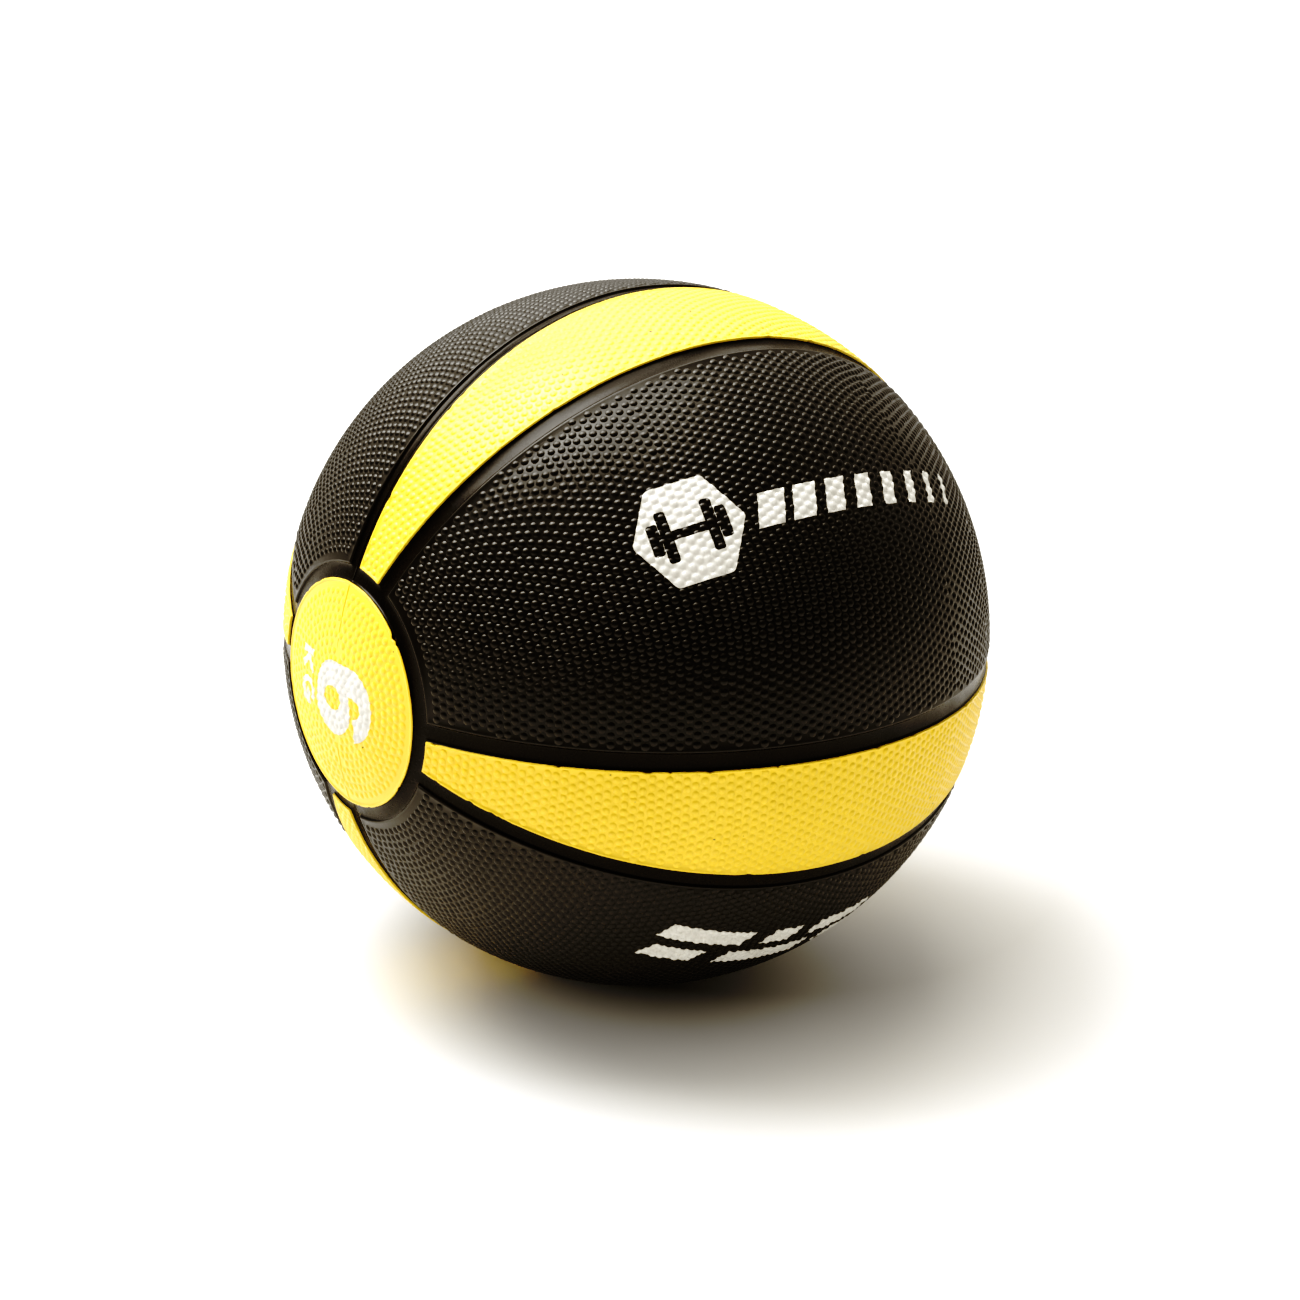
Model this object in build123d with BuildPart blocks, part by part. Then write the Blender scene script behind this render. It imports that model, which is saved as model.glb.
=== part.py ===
from build123d import *
from math import radians, tan
import os

os.makedirs("parts", exist_ok=True)

# A rubber medicine ball. The poles lie on X, the two mould halves meet in the XZ plane, and the
# origin is the ball's centre. An angle about X is counted from +Z towards -Y, and a polar angle
# from the pole at -X.

# driving dimensions, in mm and degrees
BALL_R = 120.0
COVER_T = 3.0
SEAM_T = 1.5
CARCASS_T = 26.0
WINDING_T = 1.0
BLADDER_T = 2.0
CHANNEL_HALF_W = 3.0
YELLOW_LUNE = 22.8
CAP_POLAR = 18.2
RING_POLAR = 20.7
EDGE_ROUND = 0.5
INK_T = 0.12

# radii of the layers, from the outside in
COVER_IN = BALL_R - COVER_T
SEAM_OUT = COVER_IN + SEAM_T
CARCASS_IN = COVER_IN - CARCASS_T
WINDING_IN = CARCASS_IN - WINDING_T
BLADDER_IN = WINDING_IN - BLADDER_T

# needle valve, in the middle of the last black panel
VALVE_R = 4.5
VALVE_TOP = BALL_R - 0.6
FLANGE_R = 14.0
FLANGE_TOP = CARCASS_IN + 1.5
FLANGE_GAP = 0.2
WINDING_HOLE_POLAR = 9.3
NEEDLE_R = 1.05
NEEDLE_BOTTOM = 94.0
LEAD_IN_R = 2.2
LEAD_IN_T = 1.2
BLADDER_HOLE_POLAR = 2.0
PATCH_POLAR = 14.0
PATCH_T = 1.0

# weight mark on each cap, in its own plane: the digit's outline, bowl, hook and openings
DIGIT_X = 0.75
DIGIT_HALF_W = 12.4
BOWL_R = 10.2
BOWL_PLACE = (3.0, -1.0)
HOOK_HALF_H = 12.0
HOOK_Y = 8.0
HOOK_END_Y = 10.8
HOLE_HALF_W, HOLE_HALF_H = 4.0, 5.0
COUNTER_HALF_W, COUNTER_HALF_H = 3.6, 5.5
COUNTER_PLACE = (1.3, 9.0)
UNIT_STROKE = 2.2
UNIT_H = 8.1
UNIT_PLACE = (-9.9, -22.4)

# prints on the black panels: a badge with bars on two of them, rows of dashes on the other two
PRINT_ANGLE = 29.5
BADGE_R = 18.5
BADGE_CORNER = 2.5
BADGE_POLAR = 66.8
DUMBBELL_BAR = 3.0
PLATE_W = 3.6
BAR_COUNT = 8
BAR_H = 11.0
BAR_LEAN = 18.0
BAR_WIDEST = 9.5
BAR_NARROWEST = 2.5
BARS_FIRST_POLAR = 80.0
BARS_STEP = 5.8
DASH_ANGLE = 19.0
DASH_POLAR = 84.0
DASH_TILT = 8.0
DASH_SPAN = 84.0
DASH_H = 8.0
DASH_PITCH = 13.0
DASH_ROWS = ((30.0, 12.0, 26.0), (18.0, 34.0, 14.0))

BLACK_LUNE = 90.0 - YELLOW_LUNE
YELLOW_STARTS = [90.0 * k for k in range(4)]
BLACK_STARTS = [90.0 * k + YELLOW_LUNE for k in range(4)]
VALVE_ANGLE = BLACK_STARTS[3] + BLACK_LUNE / 2


def meridian(angle):
    """The half plane at this angle about X, with its normal towards larger angles."""
    return Plane.XZ.rotated((angle, 0, 0))


def facing(angle, radius, polar=90.0, tilt=0.0):
    """A plane across the radius at this place on the ball, its X along the meridian towards +X."""
    spot = meridian(angle)
    along = spot.from_local_coords(Vector(1, 0, 0).rotate(Axis.Z, 90 - polar))
    out = spot.from_local_coords(Vector(0, 1, 0).rotate(Axis.Z, 90 - polar))
    plane = Plane(origin=out * radius, x_dir=along, z_dir=out)
    return plane.rotated((0, 0, tilt))


def shell_piece(inner, outer, first=0, last=180, start=0, width=360, sides=None, edge_round=0):
    """A piece of a spherical layer: two radii, a span of polar angles, and a turn about X.

    The sides are two planes that trim it, and the skin's edges may be rounded."""
    with BuildPart() as piece:
        with BuildSketch(meridian(start)):
            with BuildLine():
                far = CenterArc((0, 0), outer, 180 - last, last - first)
                near = CenterArc((0, 0), inner, 180 - last, last - first)
                Line(far @ 0, near @ 0)
                Line(far @ 1, near @ 1)
            make_face()
        revolve(axis=Axis.X, revolution_arc=width)
        if sides:
            split(bisect_by=sides[0], keep=Keep.TOP)
            split(bisect_by=sides[1], keep=Keep.BOTTOM)
        if edge_round:
            skin = piece.faces().filter_by(GeomType.SPHERE).sort_by(SortBy.AREA)[-1]
            fillet(skin.edges(), edge_round)
    return piece


def cover_panel(start, width):
    """A cover panel from ring to ring, stepped in from its two meridians by half a channel."""
    sides = (meridian(start).offset(CHANNEL_HALF_W), meridian(start + width).offset(-CHANNEL_HALF_W))
    return shell_piece(
        COVER_IN, BALL_R, RING_POLAR, 180 - RING_POLAR, start, width, sides, EDGE_ROUND
    )


def seam_strip(angle):
    """The strip in the floor of the channel along one meridian."""
    sides = (meridian(angle).offset(-CHANNEL_HALF_W), meridian(angle).offset(CHANNEL_HALF_W))
    return shell_piece(COVER_IN, SEAM_OUT, RING_POLAR, 180 - RING_POLAR, angle - 8, 16, sides)


def ink_film(sketch):
    """The thin layer on the ball's outside that lies in front of a sketch's faces."""
    layer = Sphere(BALL_R + INK_T) - Sphere(BALL_R)
    return [extrude(face, 40) & layer for face in sketch.faces()]


def about_valve(piece):
    """A piece turned about X, moved so that its -X pole faces out along the valve's axis."""
    return piece.part.rotate(Axis.Y, 90).rotate(Axis.X, VALVE_ANGLE)


def slanted_bar(width, height):
    """A parallelogram that leans to the right, in the current sketch."""
    lean = height / 2 * tan(radians(BAR_LEAN))
    half_w, half_h = width / 2, height / 2
    Polygon(
        (-half_w - lean, -half_h), (half_w - lean, -half_h), (half_w + lean, half_h), (lean - half_w, half_h)
    )


# cover panels, four wide and four narrow, the last wide one with the valve's hole
for number, start in enumerate(YELLOW_STARTS, 1):
    yellow_panel = cover_panel(start, YELLOW_LUNE)
    yellow_panel.part.label = f"panel_yellow_{number}"
    export_step(yellow_panel.part, f"parts/panel_yellow_{number}.step")

for number, start in enumerate(BLACK_STARTS, 1):
    with BuildPart() as black_panel:
        add(cover_panel(start, BLACK_LUNE).part)
        if start == BLACK_STARTS[-1]:
            with BuildSketch(facing(VALVE_ANGLE, CARCASS_IN)):
                Circle(VALVE_R)
            extrude(amount=BALL_R, mode=Mode.SUBTRACT)
    black_panel.part.label = f"panel_black_{number}"
    export_step(black_panel.part, f"parts/panel_black_{number}.step")

# seam strips in the channels
for number, angle in enumerate(sorted(YELLOW_STARTS + BLACK_STARTS), 1):
    strip = seam_strip(angle)
    strip.part.label = f"seam_strip_{number}"
    export_step(strip.part, f"parts/seam_strip_{number}.step")

# caps at the poles, each with its ring strip
for side, turn in (("left", 0), ("right", 180)):
    cap = shell_piece(COVER_IN, BALL_R, 0, CAP_POLAR, edge_round=EDGE_ROUND)
    cap.part = cap.part.rotate(Axis.Z, turn)
    cap.part.label = f"cap_{side}"
    export_step(cap.part, f"parts/cap_{side}.step")

    ring = shell_piece(COVER_IN, SEAM_OUT, CAP_POLAR, RING_POLAR)
    ring.part = ring.part.rotate(Axis.Z, turn)
    ring.part.label = f"ring_strip_{side}"
    export_step(ring.part, f"parts/ring_strip_{side}.step")

# weighted carcass, two half shells that meet in the mould's parting plane
carcass_front = shell_piece(CARCASS_IN, COVER_IN, start=0, width=180)
carcass_front.part.label = "carcass_front"
export_step(carcass_front.part, "parts/carcass_front.step")

with BuildPart() as carcass_back:
    add(shell_piece(CARCASS_IN, COVER_IN, start=180, width=180).part)
    with BuildSketch(facing(VALVE_ANGLE, BLADDER_IN)):
        Circle(FLANGE_R + FLANGE_GAP)
    extrude(amount=FLANGE_TOP - BLADDER_IN, mode=Mode.SUBTRACT)
    with BuildSketch(facing(VALVE_ANGLE, BLADDER_IN)):
        Circle(VALVE_R)
    extrude(amount=BALL_R - BLADDER_IN, mode=Mode.SUBTRACT)
carcass_back.part.label = "carcass_back"
export_step(carcass_back.part, "parts/carcass_back.step")

# nylon winding, open where the valve's flange sits
with BuildPart() as winding:
    add(about_valve(shell_piece(WINDING_IN, CARCASS_IN, WINDING_HOLE_POLAR, 180)))
winding.part.label = "winding"
export_step(winding.part, "parts/winding.step")

# butyl bladder with a small hole under the valve
with BuildPart() as bladder:
    add(about_valve(shell_piece(BLADDER_IN, WINDING_IN, BLADDER_HOLE_POLAR, 180)))
bladder.part.label = "bladder"
export_step(bladder.part, "parts/bladder.step")

# round patch on the bladder's inside, round the hole
with BuildPart() as valve_patch:
    add(about_valve(shell_piece(BLADDER_IN - PATCH_T, BLADDER_IN, BLADDER_HOLE_POLAR, PATCH_POLAR)))
valve_patch.part.label = "valve_patch"
export_step(valve_patch.part, "parts/valve_patch.step")

# needle valve: flange on the bladder, stem, and the needle's passage with its lead-in
flange_rim = (WINDING_IN**2 - FLANGE_R**2) ** 0.5
with BuildPart() as valve:
    with BuildSketch(meridian(VALVE_ANGLE)):
        with BuildLine():
            seat = RadiusArc((0, WINDING_IN), (FLANGE_R, flange_rim), WINDING_IN)
            Polyline(
                seat @ 1,
                (FLANGE_R, FLANGE_TOP),
                (VALVE_R, FLANGE_TOP),
                (VALVE_R, VALVE_TOP),
                (LEAD_IN_R, VALVE_TOP),
                (NEEDLE_R, VALVE_TOP - LEAD_IN_T),
                (NEEDLE_R, NEEDLE_BOTTOM),
                (0, NEEDLE_BOTTOM),
                (0, WINDING_IN),
            )
        make_face()
    revolve(axis=Axis((0, 0, 0), meridian(VALVE_ANGLE).y_dir))
valve.part.label = "valve"
export_step(valve.part, "parts/valve.step")

# weight mark on each cap: the digit 6 over the unit kg, read along -Z
bowl_y = BOWL_PLACE[1]
counter_x, counter_y = COUNTER_PLACE
counter_left = counter_x - COUNTER_HALF_W
digit_right = DIGIT_X + DIGIT_HALF_W
unit_x, unit_y = UNIT_PLACE
with BuildSketch(Plane(origin=(-85, 0, 0), x_dir=(0, 0, -1), z_dir=(-1, 0, 0))) as weight:
    # the digit's outer shape, opened on the right between hook and bowl
    with Locations((DIGIT_X, HOOK_Y)):
        Ellipse(DIGIT_HALF_W, HOOK_HALF_H)
    with Locations((DIGIT_X, bowl_y)):
        Rectangle(2 * DIGIT_HALF_W, HOOK_Y - bowl_y, align=(Align.CENTER, Align.MIN))
        Ellipse(DIGIT_HALF_W, BOWL_R)
    with Locations(COUNTER_PLACE):
        Ellipse(COUNTER_HALF_W, COUNTER_HALF_H, mode=Mode.SUBTRACT)
    corner = (Align.MIN, Align.MIN)
    with Locations((counter_left, bowl_y)):
        Rectangle(digit_right - counter_left, counter_y - bowl_y, align=corner, mode=Mode.SUBTRACT)
    with Locations((counter_x, bowl_y)):
        Rectangle(digit_right - counter_x, HOOK_END_Y - bowl_y, align=corner, mode=Mode.SUBTRACT)
    with Locations(BOWL_PLACE):
        Circle(BOWL_R)
    with Locations((DIGIT_X, bowl_y)):
        Ellipse(HOLE_HALF_W, HOLE_HALF_H, mode=Mode.SUBTRACT)
    with BuildLine():
        Line((unit_x, unit_y), (unit_x, unit_y + UNIT_H))
        Line((unit_x + 0.8 * UNIT_H, unit_y + UNIT_H), (unit_x, unit_y + 0.4 * UNIT_H))
        Line((unit_x + 0.22 * UNIT_H, unit_y + 0.55 * UNIT_H), (unit_x + 0.72 * UNIT_H, unit_y))
    trace(line_width=UNIT_STROKE)
    with BuildLine():
        loop = CenterArc((unit_x + 1.68 * UNIT_H, unit_y + UNIT_H / 2), 0.47 * UNIT_H, 50, 310)
        Line(loop @ 1, (unit_x + 1.6 * UNIT_H, unit_y + UNIT_H / 2))
    trace(line_width=UNIT_STROKE)

weight_film = ink_film(weight.sketch)
for side, turn in (("left", 0), ("right", 180)):
    with BuildPart() as weight_mark:
        add([piece.rotate(Axis.Z, turn) for piece in weight_film])
    weight_mark.part.label = f"weight_mark_{side}"
    export_step(weight_mark.part, f"parts/weight_mark_{side}.step")

# badge with a dumbbell left open in it, and a row of slanted bars that thin out along the panel
for number, start in ((1, BLACK_STARTS[0]), (3, BLACK_STARTS[2])):
    with BuildSketch(facing(start + PRINT_ANGLE, 90, BADGE_POLAR)) as badge:
        RegularPolygon(BADGE_R, 6)
        fillet(badge.vertices(), BADGE_CORNER)
        Rectangle(1.2 * BADGE_R, DUMBBELL_BAR, mode=Mode.SUBTRACT)
        with GridLocations(0.8 * BADGE_R, 0, 2, 1):
            RectangleRounded(PLATE_W, 0.9 * BADGE_R, 1, mode=Mode.SUBTRACT)
        with GridLocations(1.2 * BADGE_R, 0, 2, 1):
            RectangleRounded(PLATE_W, 0.55 * BADGE_R, 1, mode=Mode.SUBTRACT)
    films = ink_film(badge.sketch)
    for k in range(BAR_COUNT):
        bar_w = BAR_WIDEST + (BAR_NARROWEST - BAR_WIDEST) * k / (BAR_COUNT - 1)
        with BuildSketch(facing(start + PRINT_ANGLE, 90, BARS_FIRST_POLAR + BARS_STEP * k)) as bar:
            slanted_bar(bar_w, BAR_H)
        films += ink_film(bar.sketch)
    with BuildPart() as badge_print:
        add(films)
    badge_print.part.label = f"badge_print_{number}"
    export_step(badge_print.part, f"parts/badge_print_{number}.step")

# two slanted rows of dashes
for number, start in ((2, BLACK_STARTS[1]), (4, BLACK_STARTS[3])):
    with BuildSketch(facing(start + DASH_ANGLE, 90, DASH_POLAR, DASH_TILT)) as dashes:
        for row, lengths in enumerate(DASH_ROWS):
            left = -DASH_SPAN / 2
            gap = (DASH_SPAN - sum(lengths)) / (len(lengths) - 1)
            for length in lengths:
                with Locations((left + length / 2, DASH_PITCH * (0.5 - row))):
                    slanted_bar(length, DASH_H)
                left += length + gap
    films = ink_film(dashes.sketch)
    with BuildPart() as dash_print:
        add(films)
    dash_print.part.label = f"dash_print_{number}"
    export_step(dash_print.part, f"parts/dash_print_{number}.step")
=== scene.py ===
import math

import bpy
import numpy as np
from mathutils import Matrix, Vector
from mathutils.geometry import delaunay_2d_cdt
from mathutils.kdtree import KDTree


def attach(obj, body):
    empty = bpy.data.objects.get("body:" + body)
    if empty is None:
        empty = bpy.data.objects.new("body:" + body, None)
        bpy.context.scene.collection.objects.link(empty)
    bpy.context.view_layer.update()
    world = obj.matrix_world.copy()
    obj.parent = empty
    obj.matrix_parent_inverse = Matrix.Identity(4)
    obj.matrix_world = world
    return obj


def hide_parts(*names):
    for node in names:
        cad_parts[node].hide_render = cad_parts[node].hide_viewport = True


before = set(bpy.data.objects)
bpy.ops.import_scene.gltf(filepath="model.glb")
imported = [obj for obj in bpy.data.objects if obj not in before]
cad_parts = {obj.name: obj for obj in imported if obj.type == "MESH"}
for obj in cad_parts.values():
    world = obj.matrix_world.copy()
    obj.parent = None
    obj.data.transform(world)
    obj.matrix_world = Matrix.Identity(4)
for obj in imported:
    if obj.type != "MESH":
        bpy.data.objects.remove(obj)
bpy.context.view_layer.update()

# Shapes are made in millimetres and turn into metres in new_object; materials, camera, floor and lights
# are in metres. An angle about X is counted from +Z towards -Y, and a polar angle from the pole at -X.
BALL_R = 120.0
COVER_IN = 117.0
CHANNEL_HALF_W = 3.0
YELLOW_LUNE = 22.8
CAP_POLAR = 18.2
RING_POLAR = 20.7
SEAM_TOP = 118.5
VALVE_R = 4.5

CAP_ARC = BALL_R * math.radians(CAP_POLAR)
RING_ARC = BALL_R * math.radians(RING_POLAR)
MOUTH_HALF = math.asin(CHANNEL_HALF_W / (BALL_R * math.sin(math.radians(RING_POLAR))))

# pebbles in slightly wavy rings about the poles, each ring staggered against the next
PEBBLE_RINGS = 139
PEBBLE_PITCH = 3.1
PITCH_SLACK = 0.08
PEBBLE_START = 64.0
PEBBLE_WAVE = 1.6
PEBBLE_SWAY = 2.0
PEBBLE_JITTER = 0.09
PEBBLE_R = 1.32
PEBBLE_R_SPREAD = 0.025
PEBBLE_H = 0.52
PEBBLE_H_SPREAD = 0.03
SKIN_R = BALL_R - 0.55

# a pebble's mesh: each ring's share of its radius and depth below its surface, and the share past
# which its slope stays the same
DOME_POWER = 0.8
DOME_RINGS = ((0.42, 0.0), (0.78, 0.0), (1.0, 0.03))
DOME_STEEPEST = 0.88

# the height of the pebbles there, as a share of those on the black panels
YELLOW_SHARE = 0.88
CAP_SHARE = 0.85

# how far pebbles stay inside the edges of their panel or cap, and off the caps' parting line
BLACK_MARGIN = 1.6
YELLOW_MARGIN = 1.15
CAP_MARGIN = 1.8
RIDGE_MARGIN = 1.0
RIDGE_START = 14.0

YELLOW_STARTS = [90.0 * k for k in range(4)]
BLACK_STARTS = [90.0 * k + YELLOW_LUNE for k in range(4)]
BLACK_LUNE = 90.0 - YELLOW_LUNE
VALVE_ANGLE = BLACK_STARTS[3] + BLACK_LUNE / 2
VALVE_CLEAR = 8.4

# edge profiles: distance in from the panel's edge, and radius there
BLACK_EDGE = ((0, 119.1), (0.1, 119.4), (0.35, 119.6), (0.8, 119.6), (1.15, SKIN_R))
YELLOW_EDGE = ((0, 119.6), (0.07, 119.8), (0.3, 119.84), (0.75, 119.78), (1.05, SKIN_R))
CAP_EDGE = ((0, 119.5), (0.08, 119.8), (0.5, 119.86), (0.75, 119.8), (0.9, 119.6), (1.3, SKIN_R))

# the channels' floor: the fall to its middle, and the fillet along its walls
FLOOR_SINK = 0.08
FLOOR_HOLLOW = 0.34
FILLET_W = 0.7
FILLET_H = 0.35

# the skin's raised ring round the valve: distance from the valve's axis, and radius on the ball
VALVE_RIM = (
    (4.42, 118.3), (4.42, 119.45), (4.55, 119.75), (4.85, 119.92), (5.6, 119.95),
    (6.0, 119.85), (6.3, 119.6), (6.9, 119.42), (7.3, 119.2), (6.0, 118.4),
)

# the ink film: its thickness over the pebbles, how far it reaches into them, and its mesh
INK_THICK = 0.045
INK_SINK = 0.03
INK_STEP = 0.42
INK_EDGE_STEP = 0.4
INK_RIM_GAP = 0.24
INK_OUTER = BALL_R + 0.06

rng = np.random.default_rng(11)


# ---------------------------------------------------------------- mesh helpers
def direction(polar, angle):
    """Unit vectors for polar angles and angles about X, in radians."""
    polar, angle = np.broadcast_arrays(polar, angle)
    return np.stack(
        [-np.cos(polar), -np.sin(polar) * np.sin(angle), np.sin(polar) * np.cos(angle)], -1
    )


def wander(length, step, size):
    """A smooth random function along a length, with bumps about this far apart."""
    knots = rng.normal(0, size, int(length / step) + 4)
    return lambda s: np.interp(np.asarray(s) / step + 1, np.arange(len(knots)), knots)


def new_object(name, coords, faces, normals, material, smooth_angle=48):
    """A mesh object from millimetre coordinates and lists of face arrays.

    A normal of zero leaves that vertex to Blender."""
    mesh = bpy.data.meshes.new(name)
    polygons = [corners for part in faces for corners in part.tolist()]
    mesh.from_pydata((np.asarray(coords) * 0.001).tolist(), [], polygons)
    mesh.polygons.foreach_set("use_smooth", [True] * len(mesh.polygons))
    mesh.set_sharp_from_angle(angle=math.radians(smooth_angle))
    mesh.materials.append(material)
    mesh.update()
    if normals is not None and np.any(normals):
        mesh.normals_split_custom_set_from_vertices(normals.tolist())
    piece = bpy.data.objects.new(name, mesh)
    bpy.context.scene.collection.objects.link(piece)
    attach(piece, "root")
    return piece


def sheet_shell(outer, inner):
    """Faces of a closed shell between two grids of points with the same rows and columns."""
    rows, cols = outer.shape[:2]
    index = np.arange(rows * cols).reshape(rows, cols)
    count = rows * cols
    top = np.stack([index[:-1, :-1], index[1:, :-1], index[1:, 1:], index[:-1, 1:]], -1).reshape(-1, 4)
    rim = np.concatenate([index[:, 0], index[-1, 1:], index[-2::-1, -1], index[0, -2:0:-1]])
    after = np.roll(rim, -1)
    wall = np.stack([after, rim, rim + count, after + count], -1)
    coords = np.concatenate([outer.reshape(-1, 3), inner.reshape(-1, 3)])
    return coords, [top, top[:, ::-1] + count, wall]


def loop_shell(points):
    """Faces of a closed tube through a grid of points that joins up along rows and columns."""
    rows, cols = points.shape[:2]
    index = np.arange(rows * cols).reshape(rows, cols)
    down, right = np.roll(index, -1, 0), np.roll(index, -1, 1)
    both = np.roll(down, -1, 1)
    quads = np.stack([index, down, both, right], -1).reshape(-1, 4)
    return points.reshape(-1, 3), [quads]


def round_quads(rows, cols):
    """Faces between the rows of a grid whose last column joins its first, with the grid's indices."""
    index = np.arange(rows * cols).reshape(rows, cols)
    after = np.roll(index, -1, 1)
    quads = np.stack([index[:-1], index[1:], after[1:], after[:-1]], -1).reshape(-1, 4)
    return quads, index, after


def outward(coords, faces):
    """The same faces, turned inside out where the solid they close has a negative volume."""
    total = 0.0
    for part in faces:
        a = coords[part[:, 0]]
        for k in range(1, part.shape[1] - 1):
            total += np.einsum("ij,ij->", a, np.cross(coords[part[:, k]], coords[part[:, k + 1]]))
    return faces if total > 0 else [part[:, ::-1] for part in faces]


def joined(*pieces):
    """One list of coordinates, faces and normals from several, some of them without normals."""
    coords, faces, normals, start = [], [], [], 0
    for piece in pieces:
        coords.append(piece[0])
        faces += [part + start for part in piece[1]]
        normals.append(piece[2] if len(piece) > 2 else np.zeros_like(piece[0]))
        start += len(piece[0])
    return np.concatenate(coords), faces, np.concatenate(normals)


# ---------------------------------------------------------------- pebbles
def all_pebbles():
    """Polar angle, angle about X, radius and height of every pebble on the ball."""
    polar, angle, count = [], [], 1
    for k in range(PEBBLE_RINGS):
        ring = (k + 0.5) * math.pi / PEBBLE_RINGS
        wanted = 2 * math.pi * BALL_R * math.sin(ring) / PEBBLE_PITCH
        if abs(wanted / count - 1) > PITCH_SLACK:
            ahead = PITCH_SLACK if ring < math.pi / 2 else -PITCH_SLACK
            count = max(round(wanted * (1 + ahead)), 1)
        polar.append(np.full(count, ring))
        angle.append(math.radians(PEBBLE_START) + 2 * math.pi * (np.arange(count) + k % 2 / 2) / count)
    polar = np.concatenate(polar)
    angle = np.concatenate(angle)
    wave = PEBBLE_WAVE * np.sin(9 * angle + 3.0 * polar) * np.sin(polar) ** 4
    sway = PEBBLE_SWAY * np.sin(5 * angle - 6.0 * polar) * np.sin(polar) ** 4
    polar = polar + (wave + rng.normal(0, PEBBLE_JITTER, len(polar))) / BALL_R
    angle = angle + (sway + rng.normal(0, PEBBLE_JITTER, len(polar))) / (BALL_R * np.sin(polar))
    size = PEBBLE_R * (1 + rng.normal(0, PEBBLE_R_SPREAD, len(polar)))
    height = PEBBLE_H * (1 + rng.normal(0, PEBBLE_H_SPREAD, len(polar)))
    return polar, angle % (2 * math.pi), size, height


PEBBLES = all_pebbles()
PEBBLE_DIRS = direction(PEBBLES[0], PEBBLES[1])


def dome_height(share):
    """Height of a pebble at this share of its radius, as a share of its height."""
    return (1 - np.clip(share, 0, 1) ** 2) ** DOME_POWER


def domes(keep, segments, share_h=1.0):
    """Closed domes on the skin for the chosen pebbles, with normals that run into the skin's."""
    out = PEBBLE_DIRS[keep]
    size, height = PEBBLES[2][keep][:, None, None], share_h * PEBBLES[3][keep][:, None, None]
    along = np.cross(out, np.array([1.0, 0.0, 0.0]))
    along /= np.linalg.norm(along, axis=1)[:, None]
    across = np.cross(out, along)
    turns = 2 * np.pi * np.arange(segments) / segments
    spokes = along[:, None] * np.cos(turns)[:, None] + across[:, None] * np.sin(turns)[:, None]
    out = out[:, None]
    coords, normals = [out * (SKIN_R + height)], [out]
    for share, sink in DOME_RINGS:
        level = SKIN_R + height * float(dome_height(share)) - sink
        coords.append(out * level + spokes * size * share)
        inner = min(share, DOME_STEEPEST)
        fall = 2 * DOME_POWER * inner * (1 - inner**2) ** (DOME_POWER - 1) * height / size
        normals.append(out + spokes * fall)
    coords, normals = np.concatenate(coords, 1), np.concatenate(normals, 1)
    count, per = coords.shape[:2]
    normals /= np.linalg.norm(normals, axis=2)[..., None]
    first = (np.arange(count) * per)[:, None, None]
    here, there = np.arange(segments), (np.arange(segments) + 1) % segments
    faces = [(first + np.stack([np.zeros(segments, int), 1 + here, 1 + there], -1)).reshape(-1, 3)]
    last = len(DOME_RINGS) - 1
    for ring in range(last):
        a, b = 1 + ring * segments, 1 + (ring + 1) * segments
        faces.append((first + np.stack([a + here, b + here, b + there, a + there], -1)).reshape(-1, 4))
    faces.append(first[:, 0] + (1 + last * segments + here)[::-1])
    coords = coords.reshape(-1, 3)
    return coords, outward(coords, faces), normals.reshape(-1, 3)


# ---------------------------------------------------------------- cover panels
def panel_keep(start, width, margin):
    """Which pebbles have their centre at least this far inside a cover panel's edges."""
    polar, angle = PEBBLES[:2]
    start, width = math.radians(start), math.radians(width)
    around = (angle - start) % (2 * math.pi)
    reach = BALL_R * np.sin(polar)
    side = np.minimum(reach * np.sin(around), reach * np.sin(width - around)) - CHANNEL_HALF_W
    end = BALL_R * (np.minimum(polar, np.pi - polar) - math.radians(RING_POLAR))
    return (around < width) & (side > margin) & (end > margin)


def panel_base(start, width, profile, nicks, row_step, columns):
    """A cover panel's shell from ring to ring, with an edge profile and uneven edges."""
    edge, edge_r = np.array(profile).T
    ring = math.radians(RING_POLAR)
    start, width = math.radians(start), math.radians(width)
    length = BALL_R * (np.pi - 2 * ring)
    middle = np.linspace(edge[-1], length - edge[-1], int(length / row_step))
    along = np.concatenate([edge[:-1], middle, length - edge[-2::-1]])
    polar = (ring + along / BALL_R)[:, None]
    reach = BALL_R * np.sin(polar)
    in_left, in_right = (nick(along)[:, None] for nick in nicks[:2])
    fade = np.clip(1 - edge / edge[-1], 0, 1)
    left = np.arcsin((CHANNEL_HALF_W + edge + in_left * fade) / reach)
    right = width - np.arcsin((CHANNEL_HALF_W + edge + in_right * fade) / reach)
    share = np.linspace(0, 1, columns)[1:-1]
    inside = left[:, -1:] + (right[:, -1:] - left[:, -1:]) * share
    around = np.concatenate([left, inside, right[:, ::-1]], 1)
    fade = np.pad(fade, (0, around.shape[1] - len(edge)))
    from_left = reach * np.sin(around) - in_left * fade
    from_right = reach * np.sin(width - around) - in_right * fade[::-1]
    from_end = np.minimum(along, length - along)[:, None]
    inset = np.minimum(np.minimum(from_left, from_right) - CHANNEL_HALF_W, from_end)
    radius = np.interp(inset, edge, edge_r)
    end_in = np.clip(1 - from_end / edge[-1], 0, 1) * nicks[2](np.degrees(around - width / 2) * 2)
    sign = np.where(along < length / 2, 1, -1)[:, None]
    spots = direction(polar + sign * end_in / BALL_R, around + start)
    return sheet_shell(spots * radius[..., None], spots * COVER_IN)


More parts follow.
